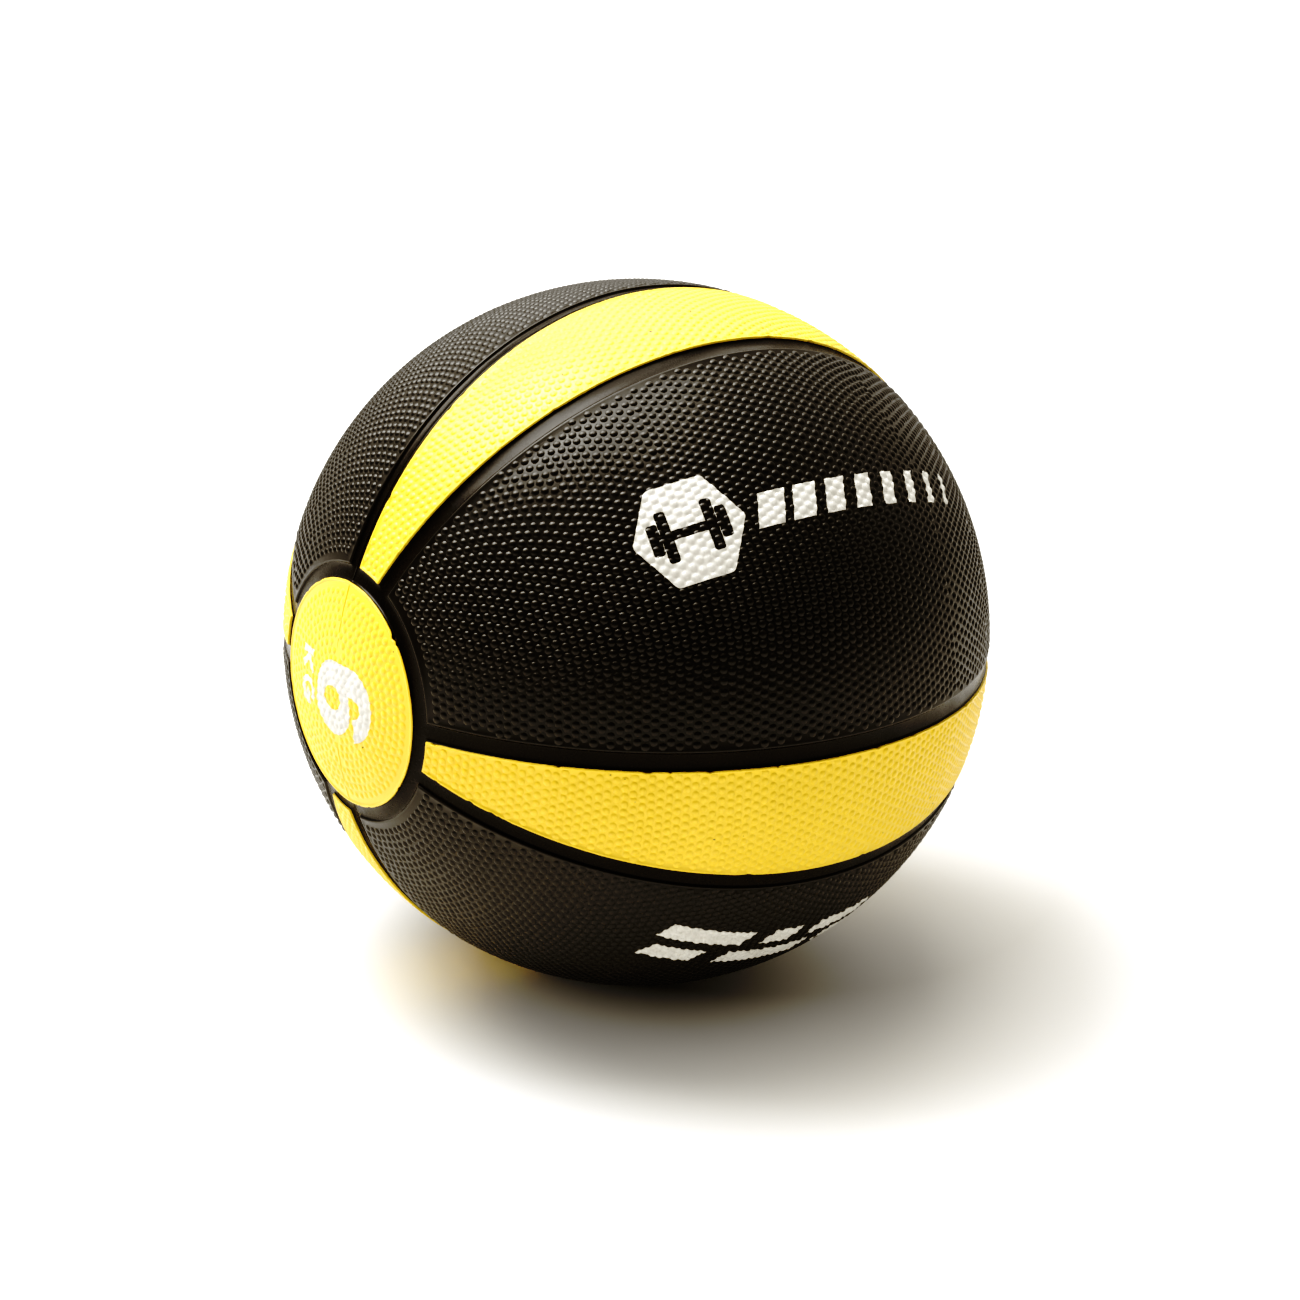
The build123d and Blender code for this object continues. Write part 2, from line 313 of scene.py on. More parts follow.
def edge_nicks(length, rough, nick):
    """How far an edge is pushed in along its length: fine unevenness and a few nicks."""
    fine = wander(length, 0.8, rough)
    slow = wander(length, 9.0, rough)
    spots = rng.uniform(0, length, int(length / 22))
    depth = rng.uniform(0.3, 1.0, len(spots)) * nick
    wide = rng.uniform(0.4, 1.3, len(spots))

    def inward(s):
        s = np.asarray(s, float)
        bite = sum(d * np.exp(-(((s - c) / w) ** 2)) for c, d, w in zip(spots, depth, wide))
        return np.abs(fine(s)) * 0.6 + np.abs(slow(s)) * 0.5 + bite

    return inward


def no_nicks(s):
    return np.zeros_like(np.asarray(s, float))


# ---------------------------------------------------------------- caps and rings
def facing_pole(coords, side):
    """Coordinates made for the pole at -X, turned about Z for the one at +X."""
    return coords if side == "left" else coords * np.array([-1.0, -1.0, 1.0])


def cap_base():
    """A cap's closed shell, with its edge bevel and uneven edge."""
    edge, edge_r = np.array(CAP_EDGE).T
    turns = np.radians(np.arange(0, 360, 0.75))
    arc = np.concatenate([np.arange(0.6, CAP_ARC - edge[-1], 1.2), CAP_ARC - edge[::-1]])
    nick = edge_nicks(2 * np.pi * CAP_ARC, 0.1, 0.5)(turns * CAP_ARC)
    push = np.clip(1 - (CAP_ARC - arc) / edge[-1], 0, 1)[:, None] * nick
    spots = direction((arc[:, None] - push) / BALL_R, turns[None, :])
    radius = np.interp(CAP_ARC - arc, edge, edge_r)[:, None, None]
    quads, index, after = round_quads(*spots.shape[:2])
    count = index.size
    wall = np.stack([after[-1], index[-1], index[-1] + count, after[-1] + count], -1)[:, ::-1]
    fan = np.stack([np.full(len(turns), 2 * count), index[0], after[0]], -1)
    under = np.stack([np.full(len(turns), 2 * count + 1), after[0] + count, index[0] + count], -1)
    poles = np.array([[-SKIN_R, 0, 0], [-COVER_IN, 0, 0]])
    coords = np.concatenate([(spots * radius).reshape(-1, 3), (spots * COVER_IN).reshape(-1, 3), poles])
    return coords, outward(coords, [quads, quads[:, ::-1] + count, wall, fan, under])


def parting_ridge():
    """The low ridge that the mould leaves on a cap in the XZ plane, which fades near the pole."""
    reach = np.linspace(-(CAP_ARC - 0.3), CAP_ARC - 0.3, 120)
    waver = 0.06 * np.sin(reach * 0.9) + wander(2 * CAP_ARC, 2.0, 0.05)(reach + CAP_ARC)
    across = np.array([-0.28, -0.1, 0.1, 0.28, 0.28, -0.28])
    crest = 0.32 * np.clip((np.abs(reach) - 13.0) / 6.0, 0, 1)[:, None] - 0.08
    foot, under = np.full_like(crest, -0.1), np.full_like(crest, -0.35)
    lift = np.concatenate([foot, crest, crest, foot, under, under], 1)
    lean = reach / BALL_R
    out = np.stack([-np.cos(lean), 0 * lean, np.sin(lean)], -1)
    points = out[:, None] * (SKIN_R + lift)[..., None]
    points = points + np.array([0, 1.0, 0]) * (across[None, :, None] + waver[:, None, None])
    sides, index, _ = round_quads(*points.shape[:2])
    coords = points.reshape(-1, 3)
    return coords, outward(coords, [sides, index[:1, ::-1], index[-1:]])


def cap_skin(side):
    """A cap with the line of the mould's parting plane and its pebbles."""
    base = cap_base()
    ridge = parting_ridge()
    polar, angle = PEBBLES[:2]
    off_line = np.abs(BALL_R * np.sin(polar) * np.sin(angle))
    on_ridge = (off_line <= RIDGE_MARGIN) & (BALL_R * polar > RIDGE_START)
    keep = (BALL_R * polar < CAP_ARC - CAP_MARGIN) & ~on_ridge
    coords, faces, normals = joined(base, ridge, domes(keep, 10, share_h=CAP_SHARE))
    return facing_pole(coords, side), faces, facing_pole(normals, side)


def nearest_corner(arc, angle):
    """Distance on the ring from each point to the nearest corner of a cover panel."""
    best = np.full(np.broadcast(arc, angle).shape, 99.0)
    for start in YELLOW_STARTS + BLACK_STARTS:
        for corner in (math.radians(start) - MOUTH_HALF, math.radians(start) + MOUTH_HALF):
            turn = (angle - corner + np.pi) % (2 * np.pi) - np.pi
            best = np.minimum(best, np.hypot(arc - RING_ARC, turn * 0.97 * RING_ARC))
    return best


def floor_radius(distance, noise):
    """Radius of a channel's hollow floor at a distance from the nearest wall, with its fillet."""
    hollow = FLOOR_HOLLOW * np.clip(1 - distance / CHANNEL_HALF_W, 0, 1) ** 2
    fillet = FILLET_H * np.clip(1 - distance / FILLET_W, 0, 1) ** 2
    return SEAM_TOP - FLOOR_SINK + hollow + fillet + noise


def ring_floor(side):
    """The channel round a cap, open where the eight channels come in."""
    rim = np.array([0, 0.12, 0.3, 0.5, 0.8, 1.2, 1.8])
    arc = np.concatenate([CAP_ARC + rim, RING_ARC - rim[::-1]])[:, None]
    turns = np.radians(np.arange(0, 360, 0.5))[None, :]
    starts = np.radians(np.array(YELLOW_STARTS + BLACK_STARTS))[:, None]
    off = np.abs((turns - starts + np.pi) % (2 * np.pi) - np.pi).min(0)
    mouth = (off < MOUTH_HALF)[None, :]
    to_panel = np.where(mouth, nearest_corner(arc, turns), RING_ARC - arc)
    distance = np.minimum(arc - CAP_ARC, to_panel)
    ripple = wander(2 * np.pi * CAP_ARC, 6, 0.04)(turns * CAP_ARC)
    flash = 0.18 * np.exp(-((np.abs(np.sin(turns)) * CAP_ARC / 0.22) ** 2))
    top = floor_radius(distance, ripple + flash)
    spots = direction(arc / BALL_R, turns)
    bottom = spots[[-1, 0]] * COVER_IN
    points = np.concatenate([spots * top[..., None], bottom])
    coords, faces = loop_shell(points)
    return facing_pole(coords, side), outward(coords, faces), None


def channel_floor(angle, with_flash):
    """The floor of the channel along one meridian."""
    rim = np.array([0, 0.12, 0.3, 0.5, 0.8, 1.3, 2.0, 2.8])
    across = np.concatenate([-CHANNEL_HALF_W + rim, CHANNEL_HALF_W - rim[::-1]])
    if with_flash:
        across = np.sort(np.concatenate([across, [-0.12, 0.0, 0.12]]))
    ring = math.radians(RING_POLAR)
    polar = np.linspace(ring, np.pi - ring, 260)[:, None]
    reach = BALL_R * np.sin(polar)
    around = math.radians(angle) + np.arcsin(across / reach)
    ripple = wander(300, 7, 0.04)((polar - ring) * BALL_R)
    flash = with_flash * 0.16 * np.clip(1 - np.abs(across) / 0.2, 0, 1)
    top = floor_radius(CHANNEL_HALF_W - np.abs(across), ripple + flash)
    spots = direction(polar, around)
    coords, faces = sheet_shell(spots * top[..., None], spots * COVER_IN)
    return coords, outward(coords, faces), None


# ---------------------------------------------------------------- ink
def tree_of(spots):
    tree = KDTree(len(spots))
    for number, spot in enumerate(spots):
        tree.insert(spot, number)
    tree.balance()
    return tree


PEBBLE_TREE = tree_of(PEBBLE_DIRS * SKIN_R)


def skin_height(spots, share_h=1.0):
    """Radius of the pebbled skin under each of these directions."""
    result = np.full(len(spots), SKIN_R)
    for k, spot in enumerate(spots * SKIN_R):
        _, number, distance = PEBBLE_TREE.find(spot)
        share = distance / PEBBLES[2][number]
        result[k] += share_h * PEBBLES[3][number] * float(dome_height(share))
    return result


def cap_height(spots):
    """Skin radius under an ink film on a cap: the pebbles of the -X cap, turned for the other."""
    turned = np.where(spots[:, :1] > 0, spots * np.array([-1.0, -1.0, 1.0]), spots)
    return skin_height(turned, CAP_SHARE)


def ink_outline(node):
    """Directions round the outer face of a CAD ink node, and the edges between them."""
    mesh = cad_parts[node].data
    coords = np.array([v.co for v in mesh.vertices]) * 1000
    length = np.linalg.norm(coords, axis=1)
    places, merged = {}, []
    for number, key in enumerate(map(tuple, np.round(coords, 3))):
        merged.append(places.setdefault(key, number))
    uses = {}
    for polygon in mesh.polygons:
        if min(length[v] for v in polygon.vertices) > INK_OUTER:
            ids = [merged[v] for v in polygon.vertices]
            for a, b in zip(ids, ids[1:] + ids[:1]):
                if a != b:
                    pair = (min(a, b), max(a, b))
                    uses[pair] = uses.get(pair, 0) + 1
    edges = [pair for pair, times in uses.items() if times == 1]
    ids = sorted({v for pair in edges for v in pair})
    place = {v: number for number, v in enumerate(ids)}
    rim = coords[ids] / length[ids][:, None]
    return rim, np.array([(place[a], place[b]) for a, b in edges])


def tangent_axes(spots):
    """Axes of the plane that touches the ball in the middle of these directions."""
    middle = spots.mean(0)
    middle /= np.linalg.norm(middle)
    right = np.cross([0.0, 0.0, 1.0], middle)
    right /= np.linalg.norm(right)
    return middle, right, np.cross(middle, right)


def flattened(spots, axes):
    """Places in the plane, at the distance from the middle that the directions have on the ball."""
    middle, right, up = axes
    bend = np.arccos(np.clip(spots @ middle, -1, 1))
    scale = BALL_R * bend / np.maximum(np.sin(bend), 1e-9)
    return np.stack([spots @ right * scale, spots @ up * scale], -1)


def rounded(flat, axes):
    """The directions that belong to these places in the plane."""
    middle, right, up = axes
    away = np.linalg.norm(flat, axis=1)
    turn = away / BALL_R
    share = np.where(away > 1e-9, np.sin(turn) / np.maximum(away, 1e-9), 0)
    spots = middle * np.cos(turn)[:, None]
    return spots + (right * flat[:, :1] + up * flat[:, 1:]) * share[:, None]


def split_edges(points, edges):
    """The outline with its long edges split, so that it follows the pebbles as well."""
    outline, lines = list(map(tuple, points)), []
    for a, b in edges:
        parts = max(math.ceil(np.linalg.norm(points[b] - points[a]) / INK_EDGE_STEP), 1)
        chain = [a]
        for k in range(1, parts):
            outline.append(tuple(points[a] + (points[b] - points[a]) * k / parts))
            chain.append(len(outline) - 1)
        chain.append(b)
        lines += zip(chain[:-1], chain[1:])
    return np.array(outline), np.array(lines)


def inside(points, outline, lines):
    """Which points lie inside the outline, from how many lines each has to its right."""
    crossed = np.zeros(len(points), bool)
    for a, b in lines:
        (x1, y1), (x2, y2) = outline[a], outline[b]
        spans = (points[:, 1] > y1) != (points[:, 1] > y2)
        if spans.any():
            at = x1 + (points[spans, 1] - y1) / (y2 - y1) * (x2 - x1)
            crossed[spans] ^= points[spans, 0] < at
    return crossed


def filled(outline, lines):
    """Points and triangles that fill the outline, with a staggered grid of points inside it."""
    low, high = outline.min(0), outline.max(0)
    ys = np.arange(low[1], high[1], INK_STEP * 0.866)
    xs = np.arange(low[0], high[0], INK_STEP)
    grid = np.array([(x + (row % 2) * INK_STEP / 2, y) for row, y in enumerate(ys) for x in xs])
    grid = grid[inside(grid, outline, lines)]
    rim = tree_of([(x, y, 0) for x, y in outline])
    grid = np.array([(x, y) for x, y in grid if rim.find((x, y, 0))[2] > INK_RIM_GAP])
    points = [Vector(p) for p in np.concatenate([outline, grid])]
    found = delaunay_2d_cdt(points, lines.tolist(), [], 0, 1e-6)
    flat = np.array([tuple(v) for v in found[0]])
    triangles = np.array([corners for corners in found[2] if len(corners) == 3])
    triangles = triangles[inside(flat[triangles].mean(1), outline, lines)]
    used, triangles = np.unique(triangles, return_inverse=True)
    return flat[used], triangles.reshape(-1, 3)


def ink_layer(name, node, skin=skin_height):
    """A film of ink that lies over the pebbles inside the outline of a CAD ink node."""
    rim, edges = ink_outline(node)
    axes = tangent_axes(rim)
    flat, triangles = filled(*split_edges(flattened(rim, axes), edges))
    spots = rounded(flat, axes)
    radius = skin(spots)[:, None]
    coords = np.concatenate([spots * (radius + INK_THICK), spots * (radius - INK_SINK)])
    count = len(spots)
    sides = [pair for a, b, c in triangles.tolist() for pair in ((a, b), (b, c), (c, a))]
    known = set(sides)
    walls = np.array([(b, a, a + count, b + count) for a, b in sides if (b, a) not in known])
    faces = outward(coords, [triangles, triangles[:, ::-1] + count, walls])
    piece = new_object(name, coords, faces, None, INK, smooth_angle=75)
    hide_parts(node)


# ---------------------------------------------------------------- materials
FINE_BUMP = 0.00004


def node_material(name):
    material = bpy.data.materials.new(name)
    material.use_nodes = True
    tree = material.node_tree
    shader = tree.nodes["Principled BSDF"]
    where = tree.nodes.new("ShaderNodeTexCoord").outputs["Object"]
    return material, tree, shader, where


def noise(tree, where, per_metre, detail=3.0, rough=0.55):
    node = tree.nodes.new("ShaderNodeTexNoise")
    node.inputs["Scale"].default_value = per_metre
    node.inputs["Detail"].default_value = detail
    node.inputs["Roughness"].default_value = rough
    tree.links.new(where, node.inputs["Vector"])
    return node.outputs["Fac"]


def ramp(tree, value, stops):
    node = tree.nodes.new("ShaderNodeValToRGB")
    bar = node.color_ramp
    while len(bar.elements) < len(stops):
        bar.elements.new(0.5)
    for element, (at, colour) in zip(bar.elements, stops):
        element.position = at
        element.color = (*colour, 1.0) if isinstance(colour, tuple) else (colour, colour, colour, 1.0)
    tree.links.new(value, node.inputs["Fac"])
    return node.outputs["Color"]


def mixed(tree, share, first, second):
    node = tree.nodes.new("ShaderNodeMix")
    node.data_type = "RGBA"
    tree.links.new(share, node.inputs["Factor"])
    for value, socket in ((first, node.inputs["A"]), (second, node.inputs["B"])):
        if isinstance(value, tuple):
            socket.default_value = (*value, 1.0)
        else:
            tree.links.new(value, socket)
    return node.outputs["Result"]


def bumped(tree, shader, height, distance, strength):
    node = tree.nodes.new("ShaderNodeBump")
    node.inputs["Distance"].default_value = distance
    node.inputs["Strength"].default_value = strength
    tree.links.new(height, node.inputs["Height"])
    tree.links.new(node.outputs["Normal"], shader.inputs["Normal"])


def fine_grain(tree, shader, grain, low, high, strength=0.5):
    """Roughness between two values, and a very fine bump, from the same grain."""
    tree.links.new(ramp(tree, grain, [(0.25, low), (0.75, high)]), shader.inputs["Roughness"])
    bumped(tree, shader, grain, FINE_BUMP, strength)


def black_rubber():
    material, tree, shader, where = node_material("black_rubber")
    broad = noise(tree, where, 28)
    fine = noise(tree, where, 900, 4)
    colour = ramp(tree, broad, [(0.3, (0.0056, 0.0046, 0.0036)), (0.7, (0.0092, 0.0076, 0.0060))])
    dust = ramp(tree, noise(tree, where, 2600, 2), [(0.70, 0.0), (0.80, 0.35)])
    tree.links.new(mixed(tree, dust, colour, (0.035, 0.032, 0.028)), shader.inputs["Base Color"])
    shader.inputs["Specular IOR Level"].default_value = 0.46
    fine_grain(tree, shader, fine, 0.27, 0.38)
    return material


def yellow_rubber():
    material, tree, shader, where = node_material("yellow_rubber")
    broad = noise(tree, where, 22)
    fine = noise(tree, where, 800, 4)
    colour = ramp(tree, broad, [(0.3, (0.84, 0.59, 0.066)), (0.7, (0.88, 0.625, 0.078))])
    speck = ramp(tree, noise(tree, where, 420, 1), [(0.795, 0.0), (0.81, 1.0)])
    tree.links.new(mixed(tree, speck, colour, (0.10, 0.07, 0.02)), shader.inputs["Base Color"])
    shader.inputs["Specular IOR Level"].default_value = 0.5
    fine_grain(tree, shader, fine, 0.30, 0.42)
    return material


def seam_rubber():
    material, tree, shader, where = node_material("seam_rubber")
    broad = noise(tree, where, 40)
    fine = noise(tree, where, 500, 4)
    colour = ramp(tree, broad, [(0.3, (0.008, 0.0068, 0.006)), (0.7, (0.014, 0.0115, 0.0098))])
    tree.links.new(colour, shader.inputs["Base Color"])
    shader.inputs["Specular IOR Level"].default_value = 0.18
    fine_grain(tree, shader, fine, 0.20, 0.32, 0.4)
    return material


def white_ink():
    material, tree, shader, where = node_material("white_ink")
    patches = noise(tree, where, 260, 3)
    fine = noise(tree, where, 1400, 4)
    patchy = ramp(tree, patches, [(0.35, (0.62, 0.605, 0.565)), (0.6, (0.72, 0.705, 0.665))])
    gap = ramp(tree, noise(tree, where, 1100, 2), [(0.70, 0.0), (0.76, 1.0)])
    tree.links.new(mixed(tree, gap, patchy, (0.40, 0.385, 0.35)), shader.inputs["Base Color"])
    fine_grain(tree, shader, fine, 0.42, 0.6)
    return material


def plain_rubber(name, low, high, per_metre, rough):
    material, tree, shader, where = node_material(name)
    grain = noise(tree, where, per_metre, 5, 0.6)
    tree.links.new(ramp(tree, grain, [(0.3, low), (0.7, high)]), shader.inputs["Base Color"])
    rougher = ramp(tree, grain, [(0.2, rough - 0.08), (0.8, rough + 0.08)])
    tree.links.new(rougher, shader.inputs["Roughness"])
    bumped(tree, shader, grain, 0.0003, 0.4)
    return material


def wound_thread():
    material, tree, shader, where = node_material("wound_thread")
    heights = []
    for turn in ((0.3, 0.5, 0), (1.2, -0.4, 0.8), (-0.5, 1.1, 2.0)):
        mapping = tree.nodes.new("ShaderNodeMapping")
        mapping.inputs["Rotation"].default_value = turn
        tree.links.new(where, mapping.inputs["Vector"])
        wave = tree.nodes.new("ShaderNodeTexWave")
        wave.inputs["Scale"].default_value = 350
        wave.inputs["Distortion"].default_value = 2.0
        tree.links.new(mapping.outputs["Vector"], wave.inputs["Vector"])
        heights.append(wave.outputs["Fac"])
    first = mixed(tree, noise(tree, where, 60), heights[0], heights[1])
    both = mixed(tree, noise(tree, where, 45), first, heights[2])
    colour = ramp(tree, both, [(0.1, (0.45, 0.43, 0.38)), (0.8, (0.80, 0.78, 0.72))])
    tree.links.new(colour, shader.inputs["Base Color"])
    tree.links.new(ramp(tree, both, [(0.1, 0.7), (0.8, 0.5)]), shader.inputs["Roughness"])
    bumped(tree, shader, both, 0.0004, 0.6)
    return material


BLACK = black_rubber()
YELLOW = yellow_rubber()
SEAM = seam_rubber()
INK = white_ink()

FILLED = plain_rubber("filled_rubber", (0.012, 0.011, 0.010), (0.03, 0.028, 0.026), 300, 0.7)
BUTYL = plain_rubber("butyl_rubber", (0.008, 0.008, 0.009), (0.018, 0.018, 0.02), 200, 0.45)
VALVE = plain_rubber("valve_rubber", (0.006, 0.006, 0.006), (0.015, 0.014, 0.013), 900, 0.38)

kept_nodes = {
    "carcass_front": FILLED,
    "carcass_back": FILLED,
    "winding": wound_thread(),
    "bladder": BUTYL,
    "valve_patch": BUTYL,
    "valve": VALVE,
}
for node, material in kept_nodes.items():
    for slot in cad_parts[node].material_slots:
        slot.material = material


# ---------------------------------------------------------------- the ball's pieces
# the valve hole's cutter, in metres
CUTTER_MIDDLE = 0.118
CUTTER_LENGTH = 0.02


def valve_axis():
    return direction(math.pi / 2, math.radians(VALVE_ANGLE))


def with_valve_hole(coords, faces):
    """The panel's base with the valve's hole cut through it, by a cylinder across the cover."""
    axis = Vector(valve_axis())
    panel = new_object("scratch_panel", coords, faces, None, BLACK)
    bpy.ops.mesh.primitive_cylinder_add(vertices=96, radius=VALVE_R * 0.001, depth=CUTTER_LENGTH)
    cutter = bpy.context.object
    facing = axis.to_track_quat("Z", "Y").to_matrix().to_4x4()
    cutter.matrix_world = Matrix.Translation(axis * CUTTER_MIDDLE) @ facing
    modifier = panel.modifiers.new("hole", "BOOLEAN")
    modifier.operation = "DIFFERENCE"
    modifier.object = cutter
    modifier.solver = "EXACT"
    cut = bpy.data.meshes.new_from_object(panel.evaluated_get(bpy.context.evaluated_depsgraph_get()))
    coords = np.array([v.co for v in cut.vertices]) * 1000
    sizes = {}
    for p in cut.polygons:
        sizes.setdefault(len(p.vertices), []).append(list(p.vertices))
    for scratch in (panel, cutter):
        bpy.data.objects.remove(scratch)
    return coords, [np.array(group) for group in sizes.values()]


def valve_rim():
    """The low raised ring in the skin round the valve's hole."""
    out = valve_axis()
    side = np.array([1.0, 0.0, 0.0])
    other = np.cross(out, side)
    profile = np.array(VALVE_RIM)
    turns = np.radians(np.arange(0, 360, 4.0))[None, :, None]
    spin = side * np.cos(turns) + other * np.sin(turns)
    radial, level = profile[:, 0][:, None, None], profile[:, 1][:, None, None]
    lift = np.sqrt(level**2 - radial**2)
    coords, faces = loop_shell(spin * radial + out * lift)
    return coords, outward(coords, faces)


for number, start in enumerate(YELLOW_STARTS, 1):
    edges = [edge_nicks(320, 0.09, 0.55) for _ in range(2)]
    ends = edge_nicks(80, 0.08, 0.3)
    nicks = edges + [lambda s, ends=ends: ends(np.asarray(s) + 40)]
    base = panel_base(start, YELLOW_LUNE, YELLOW_EDGE, nicks, row_step=0.6, columns=14)
    base = (base[0], outward(*base))
    keep = panel_keep(start, YELLOW_LUNE, YELLOW_MARGIN)
    skin = joined(base, domes(keep, 10, share_h=YELLOW_SHARE))
    piece = new_object(f"skin_yellow_{number}", *skin, YELLOW)
    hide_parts(f"panel_yellow_{number}")

for number, start in enumerate(BLACK_STARTS, 1):
    base = panel_base(start, BLACK_LUNE, BLACK_EDGE, [no_nicks] * 3, row_step=3.0, columns=26)
    base = (base[0], outward(*base))
    keep = panel_keep(start, BLACK_LUNE, BLACK_MARGIN)
    parts = [base]
    if number == 4:
        near_valve = PEBBLE_DIRS @ valve_axis() > math.cos(VALVE_CLEAR / BALL_R)
        keep &= ~near_valve
        parts = [with_valve_hole(*base), valve_rim()]
    piece = new_object(f"skin_black_{number}", *joined(*parts, domes(keep, 9)), BLACK)
    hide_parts(f"panel_black_{number}")

for number, angle in enumerate(sorted(YELLOW_STARTS + BLACK_STARTS), 1):
    piece = new_object(f"channel_{number}", *channel_floor(angle, angle in (0, 180)), SEAM)
    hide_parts(f"seam_strip_{number}")

for side in ("left", "right"):
    piece = new_object(f"skin_cap_{side}", *cap_skin(side), YELLOW)
    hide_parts(f"cap_{side}")
    piece = new_object(f"channel_ring_{side}", *ring_floor(side), SEAM)
    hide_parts(f"ring_strip_{side}")

for number in (1, 3):
    ink_layer(f"ink_badge_{number}", f"badge_print_{number}")
for number in (2, 4):
    ink_layer(f"ink_dashes_{number}", f"dash_print_{number}")
for side in ("left", "right"):
    ink_layer(f"ink_weight_{side}", f"weight_mark_{side}", cap_height)


# ---------------------------------------------------------------- camera, floor and light, in metres
AZIMUTH, ELEVATION, ROLL = math.radians(-37.18), math.radians(19.27), math.radians(2.1)
DISTANCE = 0.966
LENS = 78.3
SHIFT = (0.0105, -0.0138)

# tone curves for green, blue and all three colours: value in the scene, and value shown
TONES = {
    1: ((0.1, 0.091), (0.22, 0.208)),
    2: ((0.1, 0.076), (0.22, 0.185), (0.7, 0.66)),
    3: ((0.04, 0.005), (0.075, 0.018), (0.17, 0.125)),
}

# painted light: the floor glows more the farther it is from the middle of the ball's shadow, which
# keeps the shadow dark and small; distance from the middle of the shadow, and glow strength there
PAINTED_GLOW_MIDDLE = (0.09, 0.05, 0.0)
PAINTED_GLOW = [(0.125, 0.0), (0.23, 0.36), (0.9, 0.64)]

# the world is brightest towards this direction
WORLD_BRIGHT = (0.45, 0.60, 0.66)
WORLD_LOW, WORLD_HIGH = 0.31, 0.95


def add_camera():
    level = math.cos(ELEVATION)
    back = Vector((math.sin(AZIMUTH) * level, -math.cos(AZIMUTH) * level, math.sin(ELEVATION)))
    turn = back.to_track_quat("Z", "Y").to_matrix().to_4x4() @ Matrix.Rotation(ROLL, 4, "Z")
    data = bpy.data.cameras.new("camera")
    data.lens = LENS
    data.sensor_width = 36.0
    data.clip_end = 100.0
    data.shift_x, data.shift_y = SHIFT
    camera = bpy.data.objects.new("camera", data)
    camera.matrix_world = Matrix.Translation(back * DISTANCE) @ turn
    bpy.context.scene.collection.objects.link(camera)
    bpy.context.scene.camera = camera


def set_tones():
    view = bpy.context.scene.view_settings
    view.view_transform = "Standard"
    view.use_curve_mapping = True
    for channel, points in TONES.items():
        for seen, shown in points:
            view.curve_mapping.curves[channel].points.new(seen, shown)
    view.curve_mapping.update()


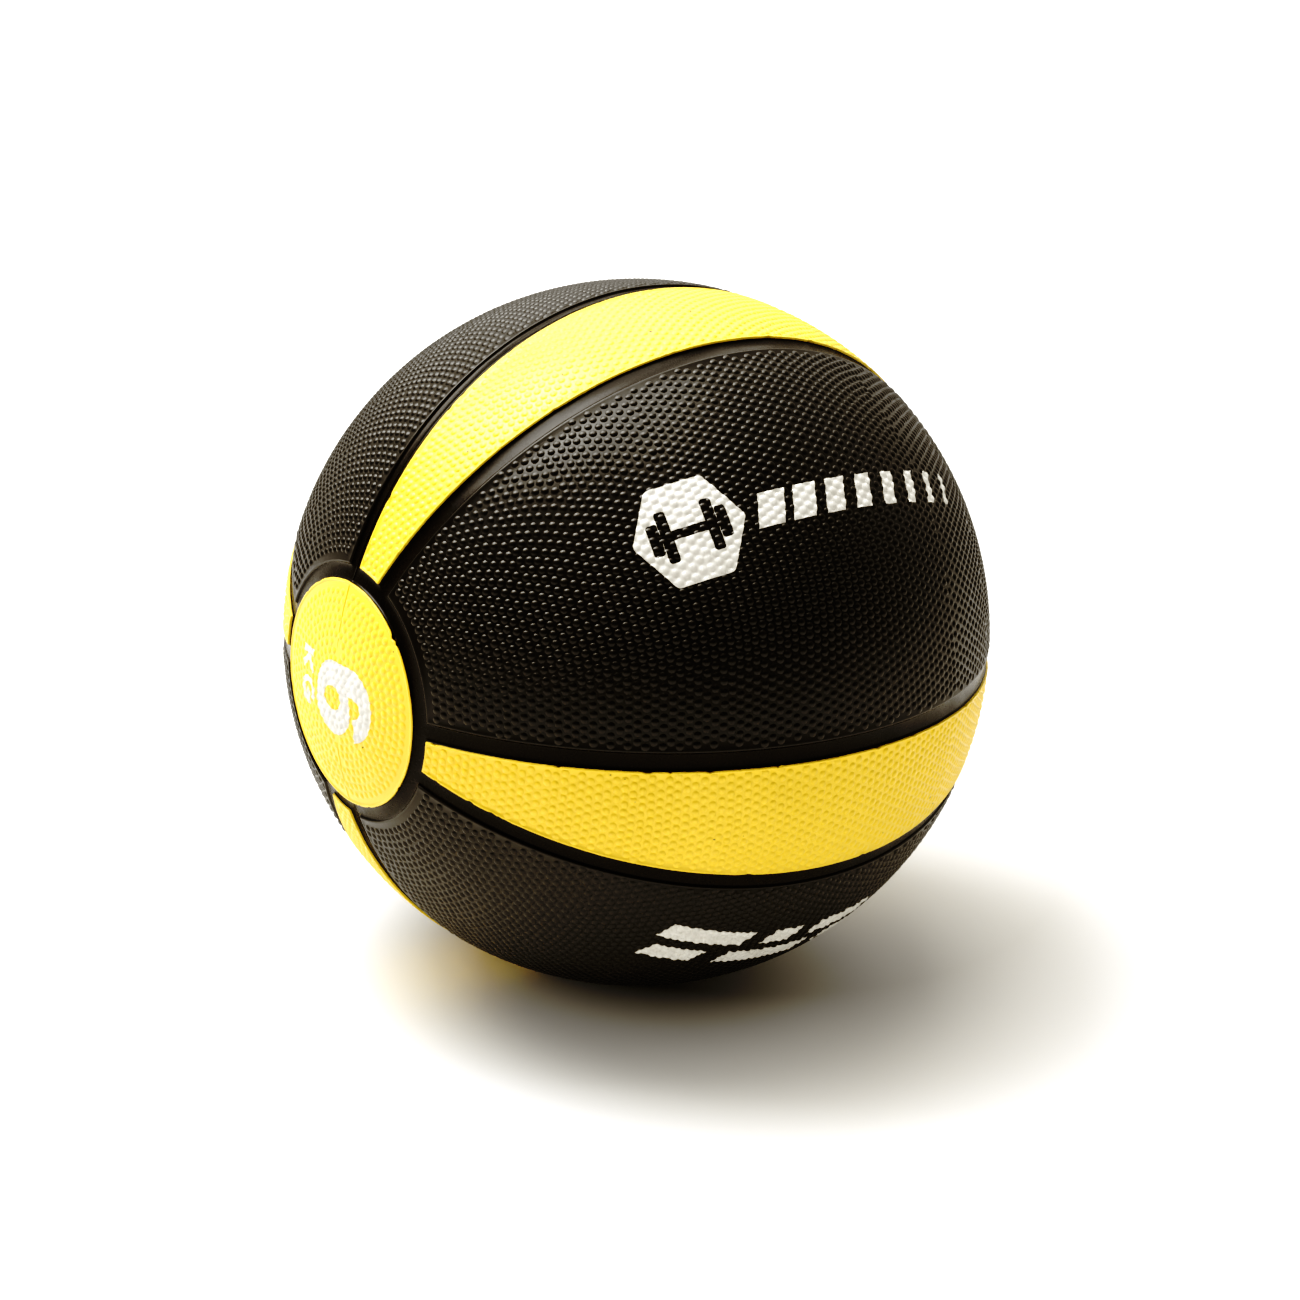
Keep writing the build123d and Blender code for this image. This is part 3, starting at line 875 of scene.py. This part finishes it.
def floor_disc():
    count = 128
    turns = 2 * np.pi * np.arange(count) / count
    radii = (0.3, 1.0, 4.0, 20.0)
    coords = [(0.0, 0.0, 0.0)]
    coords += [(r * math.cos(t), r * math.sin(t), 0.0) for r in radii for t in turns]
    faces = [(0, 1 + k, 1 + (k + 1) % count) for k in range(count)]
    for ring in range(len(radii) - 1):
        a, b = 1 + ring * count, 1 + (ring + 1) * count
        faces += [(a + k, b + k, b + (k + 1) % count, a + (k + 1) % count) for k in range(count)]
    mesh = bpy.data.meshes.new("floor")
    mesh.from_pydata(coords, [], faces)
    floor = bpy.data.objects.new("floor", mesh)
    floor.location.z = -BALL_R * 0.001
    bpy.context.scene.collection.objects.link(floor)
    material = bpy.data.materials.new("floor_paper_and_painted_glow")
    material.use_nodes = True
    tree = material.node_tree
    shader = tree.nodes["Principled BSDF"]
    shader.inputs["Base Color"].default_value = (0.66, 0.65, 0.63, 1.0)
    shader.inputs["Roughness"].default_value = 0.6
    shader.inputs["Specular IOR Level"].default_value = 0.2
    shader.inputs["Emission Color"].default_value = (1.0, 0.995, 0.99, 1.0)
    # painted light: the floor's emission is zero near the shadow's middle and grows with distance from
    # it, so the floor glows round the shadow though it is no lamp
    where = tree.nodes.new("ShaderNodeTexCoord").outputs["Object"]
    reach = tree.nodes.new("ShaderNodeVectorMath")
    reach.operation = "DISTANCE"
    reach.inputs[1].default_value = PAINTED_GLOW_MIDDLE
    tree.links.new(where, reach.inputs[0])
    painted_glow = ramp(tree, reach.outputs["Value"], PAINTED_GLOW)
    tree.links.new(painted_glow, shader.inputs["Emission Strength"])
    mesh.materials.append(material)


def area_light(name, spot, size, power, spin):
    """A softbox that faces the ball, its long side turned this far about Z from the X direction."""
    data = bpy.data.lights.new(name, "AREA")
    data.shape = "RECTANGLE"
    data.size, data.size_y = size
    data.energy = power
    aim = Vector(spot).normalized()
    flat = Matrix.Rotation(math.radians(spin), 3, "Z") @ Vector((1, 0, 0))
    side = (flat - aim * flat.dot(aim)).normalized()
    facing = Matrix((side, aim.cross(side), aim)).transposed().to_4x4()
    light = bpy.data.objects.new(name, data)
    light.matrix_world = Matrix.Translation(spot) @ facing
    bpy.context.scene.collection.objects.link(light)


def studio_world():
    world = bpy.data.worlds.new("studio")
    bpy.context.scene.world = world
    world.use_nodes = True
    tree = world.node_tree
    background = tree.nodes["Background"]
    background.inputs["Color"].default_value = (1.0, 0.99, 0.98, 1.0)
    where = tree.nodes.new("ShaderNodeTexCoord").outputs["Generated"]
    towards = tree.nodes.new("ShaderNodeVectorMath")
    towards.operation = "DOT_PRODUCT"
    towards.inputs[1].default_value = WORLD_BRIGHT
    tree.links.new(where, towards.inputs[0])
    spread = tree.nodes.new("ShaderNodeMapRange")
    spread.interpolation_type = "SMOOTHSTEP"
    spread.inputs["From Min"].default_value = -0.1
    spread.inputs["From Max"].default_value = 0.9
    spread.inputs["To Min"].default_value = WORLD_LOW
    spread.inputs["To Max"].default_value = WORLD_HIGH
    tree.links.new(towards.outputs["Value"], spread.inputs["Value"])
    tree.links.new(spread.outputs["Result"], background.inputs["Strength"])


add_camera()
set_tones()
floor_disc()
area_light("key", (-0.49, 0.53, 1.19), (0.95, 0.80), 22, -45)
area_light("back_top", (0.60, 0.85, 1.21), (1.2, 0.8), 6, -35)
area_light("overhead", (-0.20, 0.25, 1.42), (1.3, 1.1), 21, -37)
studio_world()
